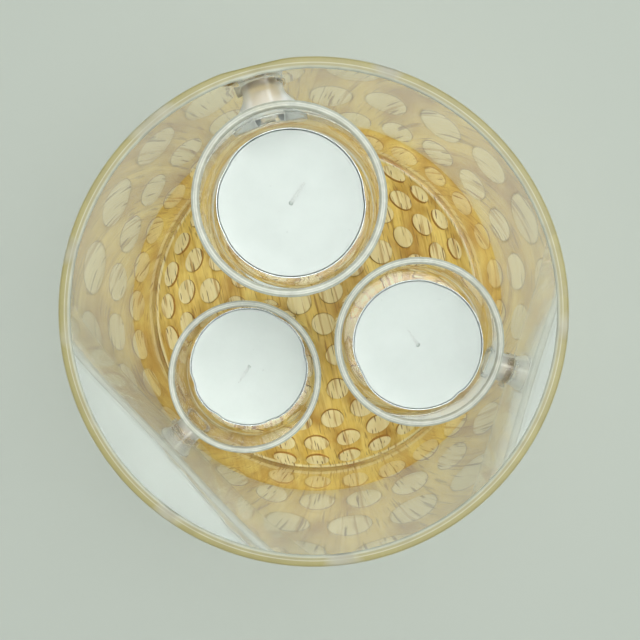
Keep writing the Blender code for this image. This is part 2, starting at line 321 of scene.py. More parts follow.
class Nodes:
    """A material's node tree, with short calls for adding and joining nodes."""

    def __init__(self, name: str) -> None:
        """Start a material that holds only its shader and its output.

        Args:
            name: the material's name.
        """
        self.material = bpy.data.materials.new(name)
        self.material.use_nodes = True
        self.tree = self.material.node_tree
        self.shader = self.tree.nodes["Principled BSDF"]
        self.output = self.tree.nodes["Material Output"]

    def add(self, kind: str, settings: dict | None = None,
            inputs: dict | None = None) -> bpy.types.Node:
        """Add a node.

        Args:
            kind: Blender's name of the node type.
            settings: attributes to set on the node.
            inputs: socket name or number to a value, or to an output socket to join.

        Returns:
            The new node.
        """
        node = self.tree.nodes.new(kind)
        for key, value in (settings or {}).items():
            setattr(node, key, value)
        for key, value in (inputs or {}).items():
            self.feed(node.inputs[key], value)
        return node

    def feed(self, socket: bpy.types.NodeSocket, value: object) -> None:
        """Feed a socket.

        Args:
            socket: the input.
            value: an output to join to it, or a plain value.
        """
        if isinstance(value, bpy.types.NodeSocket):
            self.tree.links.new(value, socket)
        else:
            socket.default_value = value

    def dress(self, **values: object) -> None:
        """Set the shader's sockets; an underscore in a name stands for a space."""
        for key, value in values.items():
            self.feed(self.shader.inputs[key.replace("_", " ")], value)

    def place(self, turn: tuple[float, float, float] = (0.0, 0.0, 0.0),
              stretch: tuple[float, float, float] = (1.0, 1.0, 1.0),
              source: bpy.types.NodeSocket | None = None) -> bpy.types.NodeSocket:
        """Coordinates for a pattern.

        Args:
            turn: turn about each axis.
            stretch: scale along each axis.
            source: what is turned and stretched, or Object coordinates if there is none.

        Returns:
            The turned and stretched coordinates.
        """
        if source is None:
            source = self.add("ShaderNodeTexCoord").outputs["Object"]
        mapping = self.add("ShaderNodeMapping", inputs={
            "Vector": source, "Rotation": turn, "Scale": stretch})
        return mapping.outputs["Vector"]

    def noise(self, where: bpy.types.NodeSocket, scale: float, detail: float = 3.0,
              roughness: float = 0.55, distortion: float = 0.0) -> bpy.types.NodeSocket:
        """A noise pattern's value, 0 to 1."""
        return self.add("ShaderNodeTexNoise", inputs={
            "Vector": where, "Scale": scale, "Detail": detail,
            "Roughness": roughness, "Distortion": distortion}).outputs["Fac"]

    def ramp(self, value: bpy.types.NodeSocket,
             stops: list[tuple[float, tuple[float, float, float]]]) -> bpy.types.NodeSocket:
        """Colours along a value.

        Args:
            value: the value, 0 to 1.
            stops: (position, colour) pairs.

        Returns:
            The colour at the value.
        """
        node = self.add("ShaderNodeValToRGB", inputs={"Fac": value})
        ramp = node.color_ramp
        while len(ramp.elements) < len(stops):
            ramp.elements.new(0.5)
        for element, (position, colour) in zip(ramp.elements, stops):
            element.position = position
            element.color = (*colour, 1.0)
        return node.outputs["Color"]

    def span(self, value: bpy.types.NodeSocket, low: float, high: float,
             new_low: float = 0.0, new_high: float = 1.0) -> bpy.types.NodeSocket:
        """Map a value from one span to another, held at both ends."""
        return self.add("ShaderNodeMapRange", inputs={
            "Value": value, "From Min": low, "From Max": high,
            "To Min": new_low, "To Max": new_high}).outputs["Result"]

    def mix(self, share: object, first: object, second: object,
            blend: str = "MIX") -> bpy.types.NodeSocket:
        """Mix two colours.

        Args:
            share: how much of the second there is.
            first: a colour or an output.
            second: a colour or an output.
            blend: Blender's name of the way of mixing.

        Returns:
            The mixed colour.
        """
        node = self.add("ShaderNodeMix", {"data_type": "RGBA", "blend_type": blend})
        for key, value in (("Factor_Float", share), ("A_Color", first), ("B_Color", second)):
            socket = next(found for found in node.inputs if found.identifier == key)
            self.feed(socket, (*value, 1.0) if isinstance(value, tuple) else value)
        return next(found for found in node.outputs if found.identifier == "Result_Color")

    def sum(self, first: object, second: object, operation: str = "ADD") -> bpy.types.NodeSocket:
        """A plain sum of two values, or another operation on them."""
        return self.add("ShaderNodeMath", {"operation": operation},
                        {0: first, 1: second}).outputs["Value"]

    def bump(self, height: bpy.types.NodeSocket, depth: float, strength: float = 1.0) -> None:
        """Give the shader a relief.

        Args:
            height: the relief, 0 to 1.
            depth: what a height of 1 stands for, in metres.
            strength: how much of it is used.
        """
        node = self.add("ShaderNodeBump", inputs={
            "Height": height, "Distance": depth, "Strength": strength})
        self.feed(self.shader.inputs["Normal"], node.outputs["Normal"])


@dataclass(frozen=True)
class CarvedWood:
    """Oiled wood with long pores; one block runs through all its carved faces.

    The grain lies level, in the direction grain_deg from +X, and dives by dive_deg. Every layer
    of the pattern is stretched along it, and less so up the block, so that streaks run on over
    the slopes of the dome.
    """

    name: str
    pale: tuple[float, float, float]
    deep: tuple[float, float, float]
    stain: tuple[float, float, float]
    stain_share: float
    pore_share: float
    pore: tuple[float, float, float] = (0.20, 0.085, 0.018)
    grain_deg: float = 103.0
    dive_deg: float = 3.0
    sway_scale: float = 60.0
    sway: float = 3.5 * MM
    band_scale: float = 330.0
    fibre_scale: float = 1500.0
    streak_scale: float = 760.0
    pore_scale: float = 1750.0
    blotch_scale: float = 120.0
    relief: float = 0.10 * MM

    def build(self) -> bpy.types.Material:
        """Lay broad bands, fine fibres, dark pores and a blotched stain over each other.

        Returns:
            The material.
        """
        nodes = Nodes(self.name)
        level = nodes.place(turn=(0.0, 0.0, -math.radians(self.grain_deg)))
        along = nodes.place(turn=(0.0, math.radians(self.dive_deg), 0.0), source=level)
        wave = nodes.add("ShaderNodeTexNoise", inputs={
            "Vector": nodes.place(stretch=(0.35, 1.0, 0.7), source=along),
            "Scale": self.sway_scale, "Detail": 1.0}).outputs["Color"]
        swayed = nodes.add("ShaderNodeVectorMath", {"operation": "MULTIPLY_ADD"}, {
            0: wave, 1: (0.0, self.sway, self.sway), 2: along}).outputs["Vector"]

        def layer(stretch: tuple[float, float, float], *pattern: float) -> bpy.types.NodeSocket:
            """A noise drawn out along the grain."""
            return nodes.noise(nodes.place(stretch=stretch, source=swayed), *pattern)

        bands = layer((0.05, 1.0, 0.25), self.band_scale, 2.0, 0.5)
        fibre = layer((0.05, 1.0, 0.3), self.fibre_scale, 3.0, 0.6)
        streaks = layer((0.05, 1.0, 0.15), self.streak_scale, 2.0, 0.5)
        pores = layer((0.085, 1.0, 0.25), self.pore_scale, 1.0, 0.3)
        blotch = layer((0.55, 1.0, 1.0), self.blotch_scale, 3.0, 0.55)
        tone = nodes.sum(nodes.sum(bands, 0.55, "MULTIPLY"), nodes.sum(fibre, 0.45, "MULTIPLY"))
        colour = nodes.ramp(tone, [(0.36, self.pale), (0.66, self.deep)])
        stain = nodes.span(blotch, 0.40, 0.68, 0.0, self.stain_share)
        colour = nodes.mix(stain, colour, self.stain)
        thin = nodes.span(streaks, 0.57, 0.66, 0.0, 0.80 * self.pore_share)
        colour = nodes.mix(thin, colour, self.stain)
        dark = nodes.span(pores, 0.62, 0.70, 0.0, self.pore_share)
        colour = nodes.mix(dark, colour, self.pore)
        relief = nodes.sum(nodes.sum(fibre, 0.35, "MULTIPLY"), dark, "SUBTRACT")
        nodes.bump(relief, self.relief, 0.5)
        nodes.dress(Base_Color=colour, Roughness=nodes.span(fibre, 0.3, 0.7, 0.42, 0.58),
                    Specular_IOR_Level=0.4)
        return nodes.material


@dataclass(frozen=True)
class ClearGlass:
    """Clear glass with a trace of tint."""

    name: str
    tint: tuple[float, float, float] = (0.99, 0.993, 0.985)
    ior: float = 1.48

    def build(self) -> bpy.types.Material:
        """Make a smooth surface that lets light through.

        Returns:
            The material.
        """
        nodes = Nodes(self.name)
        nodes.dress(Base_Color=(*self.tint, 1.0), Roughness=0.0, IOR=self.ior, Transmission_Weight=1.0)
        return nodes.material


@dataclass(frozen=True)
class MilkyGlass:
    """Glass made cloudy by a share that changes across the piece: the flame's cloudiness at the joints,
    and on the tube's rim a cloudy colour that is painted light.

    Each stop is a place across the piece, a colour and how cloudy the glass is there, 0 to 1. The
    place is read from a mesh attribute. A second attribute may add haze to the cloudiness, and
    clean patches, whose share is patch, let the colour of plain pale glass through.
    """

    name: str
    attribute: str
    stops: tuple[tuple[float, tuple[float, float, float], float], ...]
    roughness: float
    streak: float
    patch: float = 0.0
    haze: str = ""
    ior: float = 1.48
    clean: tuple[float, float, float] = (0.76, 0.79, 0.68)
    white: tuple[float, float, float] = (0.90, 0.91, 0.86)
    most: float = 0.95

    def build(self) -> bpy.types.Material:
        """Let cloudiness lower the transmission, so that the colour scatters light.

        Returns:
            The material.
        """
        nodes = Nodes(self.name)
        place = nodes.add("ShaderNodeAttribute", {"attribute_name": self.attribute}).outputs["Fac"]
        colour = nodes.ramp(place, [(stop, shade) for stop, shade, _ in self.stops])
        cloud = nodes.ramp(place, [(stop, (milk,) * 3) for stop, _, milk in self.stops])
        uneven = nodes.noise(nodes.place(), 420.0, 3.0, 0.6)
        change = nodes.span(uneven, 0.3, 0.7, 1.0 - self.streak, 1.0 + self.streak)
        cloud = nodes.sum(cloud, change, "MULTIPLY")
        if self.patch:
            clean = nodes.span(nodes.noise(nodes.place(), 45.0, 2.0), 0.54, 0.66, 0.0, self.patch)
            colour = nodes.mix(clean, colour, self.clean)
            kept = nodes.sum(1.0, nodes.sum(clean, 0.5, "MULTIPLY"), "SUBTRACT")
            cloud = nodes.sum(cloud, kept, "MULTIPLY")
        if self.haze:
            near = nodes.add("ShaderNodeAttribute", {"attribute_name": self.haze}).outputs["Fac"]
            cloud = nodes.span(nodes.sum(cloud, near), 0.0, self.most, 0.0, self.most)
            colour = nodes.mix(near, colour, self.white)
        nodes.bump(uneven, 0.10 * MM, 0.25)
        nodes.dress(Base_Color=colour, Roughness=self.roughness, IOR=self.ior,
                    Transmission_Weight=nodes.sum(1.0, cloud, "SUBTRACT"))
        return nodes.material


@dataclass(frozen=True)
class Paraffin:
    """Matt white wax with light scattered under its skin, and the odd pinhole."""

    name: str
    colour: tuple[float, float, float] = (0.755, 0.825, 0.785)

    def build(self) -> bpy.types.Material:
        """Give the wax a faint cloudiness, tiny pits and a soft skin.

        Returns:
            The material.
        """
        nodes = Nodes(self.name)
        here = nodes.place()
        cloud = nodes.noise(here, 160.0, 5.0, 0.65)
        grain = nodes.noise(here, 2600.0, 2.0)
        pits = nodes.span(nodes.noise(here, 620.0, 1.0), 0.76, 0.80)
        shade = tuple(0.97 * part for part in self.colour)
        colour = nodes.mix(nodes.span(cloud, 0.35, 0.7), self.colour, shade)
        colour = nodes.mix(nodes.sum(pits, 0.25, "MULTIPLY"), colour, (0.55, 0.60, 0.58))
        relief = nodes.sum(nodes.sum(grain, 0.25, "MULTIPLY"), pits, "SUBTRACT")
        nodes.bump(nodes.sum(relief, cloud), 0.05 * MM, 0.6)
        nodes.dress(Base_Color=colour, Roughness=nodes.span(cloud, 0.3, 0.7, 0.42, 0.55),
                    Subsurface_Weight=0.25, Subsurface_Radius=(0.9, 1.0, 0.95),
                    Subsurface_Scale=1.5 * MM, Specular_IOR_Level=0.35)
        return nodes.material


@dataclass(frozen=True)
class Foil:
    """Thin drawn aluminium with fine marks round the can."""

    name: str
    colour: tuple[float, float, float] = (0.80, 0.84, 0.80)

    def build(self) -> bpy.types.Material:
        """Let the metal's roughness and relief follow fine drawing marks.

        Returns:
            The material.
        """
        nodes = Nodes(self.name)
        marks = nodes.noise(nodes.place(stretch=(1.0, 1.0, 9.0)), 420.0, 3.0)
        dull = nodes.noise(nodes.place(), 130.0, 3.0)
        colour = nodes.mix(nodes.span(dull, 0.4, 0.7), self.colour, (0.62, 0.65, 0.66))
        nodes.bump(marks, 0.03 * MM, 0.5)
        nodes.dress(Base_Color=colour, Metallic=1.0, Roughness=nodes.span(marks, 0.3, 0.7, 0.14, 0.34))
        return nodes.material


@dataclass(frozen=True)
class Cotton:
    """Braided cotton soaked in wax."""

    name: str
    colour: tuple[float, float, float] = (0.75, 0.81, 0.77)

    def build(self) -> bpy.types.Material:
        """Give pale fibre a fine fleck.

        Returns:
            The material.
        """
        nodes = Nodes(self.name)
        fleck = nodes.noise(nodes.place(), 3200.0, 3.0)
        shade = tuple(0.86 * part for part in self.colour)
        nodes.bump(fleck, 0.05 * MM, 0.8)
        nodes.dress(Base_Color=nodes.mix(nodes.span(fleck, 0.35, 0.65), shade, self.colour),
                    Roughness=0.7)
        return nodes.material


@dataclass(frozen=True)
class PressedFelt:
    """Grey-brown wool felt."""

    name: str
    colour: tuple[float, float, float] = (0.20, 0.165, 0.13)

    def build(self) -> bpy.types.Material:
        """Give matted fibres a soft sheen.

        Returns:
            The material.
        """
        nodes = Nodes(self.name)
        mat = nodes.noise(nodes.place(), 1900.0, 5.0, 0.7, 0.6)
        pale = tuple(min(1.0, 1.8 * part) for part in self.colour)
        nodes.bump(mat, 0.3 * MM, 0.8)
        nodes.dress(Base_Color=nodes.mix(nodes.span(mat, 0.35, 0.7), self.colour, pale),
                    Roughness=0.95, Sheen_Weight=0.3)
        return nodes.material


@dataclass(frozen=True)
class PaleFloor:
    """The plain pale surface that the holder stands on."""

    name: str
    colour: tuple[float, float, float] = (0.60, 0.655, 0.59)

    def build(self) -> bpy.types.Material:
        """Make one matt colour.

        Returns:
            The material.
        """
        nodes = Nodes(self.name)
        nodes.dress(Base_Color=(*self.colour, 1.0), Roughness=0.9, Specular_IOR_Level=0.1)
        return nodes.material


@dataclass(frozen=True)
class Finishes:
    """All the materials of the holder."""

    ground: bpy.types.Material
    nub_top: bpy.types.Material
    nub_side: bpy.types.Material
    glass: bpy.types.Material
    tube_rim: bpy.types.Material
    cup_rim: bpy.types.Material
    joint: bpy.types.Material
    bar: bpy.types.Material
    wax: bpy.types.Material
    foil: bpy.types.Material
    cotton: bpy.types.Material
    felt: bpy.types.Material

    @classmethod
    def make(cls) -> "Finishes":
        """Build every finish once.

        Returns:
            The whole set.
        """
        stain, burnt = (0.47, 0.235, 0.028), (0.27, 0.115, 0.018)
        edge, clear, thread = (0.95, 0.96, 0.92), (1.0, 0.975, 0.89), (0.96, 0.96, 0.91)
        return cls(
            ground=CarvedWood("carved_ground", (0.93, 0.72, 0.205), (0.75, 0.50, 0.085), stain,
                              0.85, 0.55, pore=burnt).build(),
            nub_top=CarvedWood("nub_tops", (0.93, 0.80, 0.42), (0.80, 0.64, 0.26), stain,
                               0.15, 0.85, pore=(0.26, 0.125, 0.030)).build(),
            # Nub sides: dark brown, partly the wood's own burnt, stained edge and partly painted shade
            # at the foot of each nub.
            nub_side=CarvedWood("nub_sides", (0.48, 0.27, 0.055), (0.36, 0.18, 0.030), stain,
                                0.4, 0.4).build(),
            glass=ClearGlass("clear_glass").build(),
            # Tube rim colours are painted light. The olive stands in for the golden wood seen down
            # through the wall. The pale band at 0.45 is a painted highlight of the lamp on the rim's
            # crown. The pale inner edge paints light over the dark band where light is trapped in the
            # wall.
            tube_rim=MilkyGlass("tube_rim", "rim_share", (
                (0.00, (0.72, 0.76, 0.65), 0.85), (0.16, (0.60, 0.62, 0.46), 0.80),
                (0.26, (0.46, 0.43, 0.21), 0.75), (0.40, (0.48, 0.45, 0.23), 0.75),
                (0.45, (0.72, 0.72, 0.53), 0.85), (0.52, (0.46, 0.42, 0.17), 0.80),
                (0.86, (0.44, 0.40, 0.16), 0.80), (0.96, (0.66, 0.64, 0.42), 0.80)),
                0.34, 0.15, patch=0.8).build(),
            cup_rim=MilkyGlass("cup_rim", "rim_share", (
                (0.00, (0.70, 0.73, 0.62), 0.45), (0.22, (0.55, 0.58, 0.48), 0.60),
                (0.36, (0.74, 0.78, 0.68), 0.75), (0.52, (0.58, 0.61, 0.52), 0.65),
                (0.66, (0.76, 0.80, 0.71), 0.80), (0.80, (0.54, 0.58, 0.48), 0.65),
                (0.94, (0.73, 0.77, 0.69), 0.75), (1.00, (0.65, 0.69, 0.60), 0.60)),
                0.20, 0.15, patch=0.3).build(),
            joint=MilkyGlass("fused_joint", "joint_share", (
                (0.00, edge, 0.55), (0.07, clear, 0.15), (0.22, clear, 0.08), (0.28, thread, 0.35),
                (0.34, clear, 0.08), (0.66, clear, 0.10), (0.74, thread, 0.30), (0.92, clear, 0.15)),
                0.36, 0.5, haze="joint_haze").build(),
            bar=MilkyGlass("clear_bar", "joint_share", (
                (0.00, edge, 0.60), (0.14, clear, 0.10), (0.30, clear, 0.04), (0.56, clear, 0.04),
                (0.62, thread, 0.30), (0.70, clear, 0.04), (0.88, clear, 0.10), (1.00, edge, 0.60)),
                0.25, 0.5, haze="joint_haze").build(),
            wax=Paraffin("white_wax").build(),
            foil=Foil("thin_foil").build(),
            cotton=Cotton("waxed_cotton").build(),
            felt=PressedFelt("pressed_felt").build())


# -------- The carved base --------


@dataclass
class CarvedBase:
    """The wooden base: a disc with a flat ledge, and a domed plug covered in round nubs."""

    finishes: Finishes
    glass_gap: float = 0.3 * MM
    edge_round: float = 1.5 * MM
    plug_radius: float = 56.5 * MM
    plug_height: float = 6.5 * MM
    shoulder_round: float = 0.6 * MM
    # width of the painted highlight band round the dome's shoulder
    shoulder_highlight: float = 0.9 * MM
    carve_wave: float = 9.0 * MM
    carve_depth: float = 0.15 * MM
    carve_drop: float = 0.22 * MM
    dome_rise: float = 15.5 * MM
    dome_spread: float = 58.5 * MM
    nub_radius: float = 4.2 * MM
    nub_height: float = 0.85 * MM
    nub_root: float = 1.2 * MM
    nub_taper: float = 0.965
    nub_spacing: float = 11.2 * MM
    nub_rows: int = 7
    nub_ball: float = 60.0 * MM
    nub_limit: float = 54.1 * MM
    least_width: float = 0.35
    pole_offset: tuple[float, float] = (-6.0 * MM, 2.0 * MM)

    @property
    def ledge_z(self) -> float:
        """Height of the ledge, a gap below the glass that stands on it."""
        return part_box("glass_cylinder")[0].z - self.glass_gap

    def dome_height(self, across: np.ndarray) -> np.ndarray:
        """Height of the dome at a distance from its axis.

        The dome is the top of an ellipsoid: z = foot + b (sqrt(1 - (r / a)^2) - f), where a is
        the spread, f is the root's value at the plug's radius and b makes the rise come out.

        Args:
            across: distances from the axis.

        Returns:
            The height at each distance.
        """
        foot = math.sqrt(1.0 - (self.plug_radius / self.dome_spread) ** 2)
        share = np.sqrt(1.0 - (across / self.dome_spread) ** 2)
        return self.ledge_z + self.plug_height + self.dome_rise / (1.0 - foot) * (share - foot)

    def ground(self) -> Shell:
        """Turn the block and give its dome the small unevenness of hand smoothing.

        The dome drops by a fixed depth and takes two ripples, the second half as deep and about
        half as long. Both fade out towards the plug's edge.

        Returns:
            The block, a thin band round its shoulder given the pale nub-top wood as a painted
            highlight.
        """
        floor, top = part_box("wood_base")
        outer, low, high, edge = top.x, floor.z, self.ledge_z, self.edge_round
        soft, plug = self.shoulder_round, self.plug_radius
        across = (plug - soft) * np.sin(np.radians(np.linspace(90.0, 0.0, 96)))
        dome = np.stack([across, self.dome_height(across)], axis=1)
        side_top = dome[0, 1] - 0.7 * soft
        profile = np.concatenate([
            [[0.0, low]], line((0.0, low), (outer - edge, low), 8),
            arc(outer - edge, low + edge, edge, -90, 0),
            line((outer, low + edge), (outer, high - edge), 4),
            arc(outer - edge, high - edge, edge, 0, 90),
            line((outer - edge, high), (plug, high), 5), [[plug, high]],
            line((plug, high), (plug, side_top), 6), [[plug, side_top]],
            [[plug - 0.25 * soft, side_top + 0.4 * soft]], dome])
        shell = lathe(profile, 216)
        across = np.hypot(shell.points[:, 0], shell.points[:, 1])
        on_dome = soft_step(plug - across, 0.5 * MM, 4.0 * MM) * (shell.points[:, 2] > high)
        carve = ripple(shell.points, self.carve_wave, 11)
        carve += 0.5 * ripple(shell.points, self.carve_wave / 2.25, 12)
        shell.points[:, 2] += (carve * self.carve_depth - self.carve_drop) * on_dome
        middle = shell.points[shell.quads].mean(axis=1)
        away = np.hypot(middle[:, 0], middle[:, 1])
        # Painted highlight: faces in a thin band at the dome's shoulder take the pale nub-top wood.
        highlit = (away > plug - self.shoulder_highlight) & (away < plug) & (middle[:, 2] > side_top)
        quad_groups = np.where(highlit, CarvedFace.NUB_TOP.value, CarvedFace.GROUND.value)
        shell.groups = np.concatenate([quad_groups, np.zeros(len(shell.tris), int)])
        return shell

    def nub_directions(self) -> np.ndarray:
        """Space the nubs on a ball, in rings round a pole a little off the axis.

        The rings lie one spacing apart. Each is filled with as many nubs as fit and turned by the
        golden angle from the ring before.

        Returns:
            A unit direction from the middle of the ball for each nub on the dome.
        """
        offset = Vector((*self.pole_offset, 0.0))
        offset.z = math.sqrt(self.nub_ball ** 2 - offset.length_squared)
        turn = np.array(Vector((0.0, 0.0, 1.0)).rotation_difference(offset).to_matrix())
        rings = []
        for row in range(self.nub_rows + 1):
            polar = row * self.nub_spacing / self.nub_ball
            count = max(1, round(TAU * self.nub_ball * math.sin(polar) / self.nub_spacing))
            around = TAU * np.arange(count) / count + row * GOLDEN_TURN
            flat = math.sin(polar) * np.stack([np.cos(around), np.sin(around)], axis=1)
            rings.append(np.column_stack([flat, np.full(count, math.cos(polar))]))
        found = np.concatenate(rings) @ turn.T
        across = self.nub_ball * np.hypot(found[:, 0], found[:, 1])
        return found[(found[:, 2] > 0) & (across < self.nub_limit)]

    def nubs(self) -> Shell:
        """Every nub as a closed disc with a rounded edge, standing square on the dome.

        Ring k of a nub is centre + normal h_k + (tangent cos a + uphill q sin a) r w_k, where q
        makes the nub as narrow, seen from above, as it would be on the ball.

        Returns:
            All the nubs in one shell, their tops and sides marked.
        """
        found = self.nub_directions()
        flat = np.hypot(found[:, 0], found[:, 1])
        out = found[:, :2] / np.maximum(flat, 1e-9)[:, None]
        out = np.where(flat[:, None] < 1e-6, np.array([[1.0, 0.0]]), out)
        across = self.nub_ball * flat
        centre = np.column_stack([out * across[:, None], self.dome_height(across)])
        reach = 0.1 * MM
        slope = (self.dome_height(across + reach) - self.dome_height(across)) / reach
        normal = np.column_stack([-out * slope[:, None], np.ones(len(out))])
        normal /= np.linalg.norm(normal, axis=1)[:, None]
        tangent = np.column_stack([-out[:, 1], out[:, 0], np.zeros(len(out))])
        uphill = np.cross(normal, tangent)
        squeeze = np.maximum(found[:, 2], self.least_width) / np.hypot(uphill[:, 0], uphill[:, 1])

        draw = np.random.default_rng(5)
        size = self.nub_radius * draw.uniform(0.93, 1.07, len(found))
        phase = draw.uniform(0.0, TAU, (len(found), 2))
        top, taper = self.nub_height, self.nub_taper
        rings = np.array([
            [-self.nub_root, 1.0], [0.0, 1.0 - 0.3 * (1.0 - taper)], [0.72 * top, taper + 0.01],
            [0.90 * top, taper - 0.005], [0.98 * top, taper - 0.03], [top, taper - 0.07],
            [1.02 * top, 0.60], [1.04 * top, 0.30]])
        around = TAU * np.arange(36) / 36
        uneven = (1.0 + 0.030 * np.sin(2 * around + phase[:, :1])
                  + 0.018 * np.sin(3 * around + phase[:, 1:]))
        reach = size[:, None, None] * rings[None, :, 1, None] * uneven[:, None, :]
        lift = np.broadcast_to(rings[None, :, 0, None], reach.shape)
        points = (centre[:, None, None] + normal[:, None, None] * lift[..., None]
                  + tangent[:, None, None] * (reach * np.cos(around))[..., None]
                  + (uphill * squeeze[:, None])[:, None, None] * (reach * np.sin(around))[..., None])
        poles = np.stack([centre - normal * self.nub_root, centre + normal * top * 1.05], axis=1)
        points = np.concatenate([points.reshape(len(found), -1, 3), poles], axis=1)
        quads, tris = ring_faces(len(rings), len(around), closed=False)
        starts = (np.arange(len(found)) * points.shape[1])[:, None, None]
        shell = Shell(points.reshape(-1, 3), (quads + starts).reshape(-1, 4),
                      (tris + starts).reshape(-1, 3))
        side, crown = CarvedFace.NUB_SIDE.value, CarvedFace.NUB_TOP.value
        quad_groups = np.where(np.arange(len(quads)) < 2 * len(around), side, crown)
        tri_groups = np.where(np.arange(len(tris)) < len(around), side, crown)
        shell.groups = np.concatenate([np.tile(part, len(found)) for part in (quad_groups, tri_groups)])
        return shell.outward()

    def build(self) -> list[bpy.types.Object]:
        """Carve the block and put it on the base's body.

        Returns:
            The one piece of wood.
        """
        materials = [self.finishes.ground, self.finishes.nub_top, self.finishes.nub_side]
        base = self.ground().to_object("carved_base", materials, 35.0)
        nubs = self.nubs().to_object("nubs", materials, 50.0)
        return [attach(fuse(base, [nubs]), Body.BASE, ["wood_base"])]


@dataclass
class FeltFeet:
    """The four felt pads under the base."""

    finishes: Finishes
    count: int = 4
    edge: float = 0.5 * MM
    rim_wave: float = 2.5 * MM
    rim_share: float = 0.015

    def build(self) -> list[bpy.types.Object]:
        """Cut one pad for each foot of the frame, with soft edges and an uneven rim.

        Returns:
            The pads.
        """
        made = []
        for number in range(1, self.count + 1):
            centre, radius, tall = upright(f"felt_foot_{number}")
            profile = np.concatenate([
                [[0.0, 0.0]], line((0.0, 0.0), (radius - self.edge, 0.0), 6),
                arc(radius - self.edge, self.edge, self.edge, -90, 0, 4),
                arc(radius - self.edge, tall - self.edge, self.edge, 0, 90, 4),
                line((radius - self.edge, tall), (0.0, tall), 6), [[0.0, tall]]])
            shell = lathe(profile, 64, centre)
            sideways = shell.points[:, :2] - np.array(centre[:2])
            uneven = ripple(shell.points, self.rim_wave, 40 + number).clip(-1, 1)
            shrink = 1.0 - self.rim_share * (1.0 - uneven)
            shell.points[:, :2] = np.array(centre[:2]) + sideways * shrink[:, None]
            pad = shell.to_object(f"felt_pad_{number}", [self.finishes.felt])
            made.append(attach(pad, Body.BASE, [f"felt_foot_{number}"]))
        return made


# -------- The fused glass --------


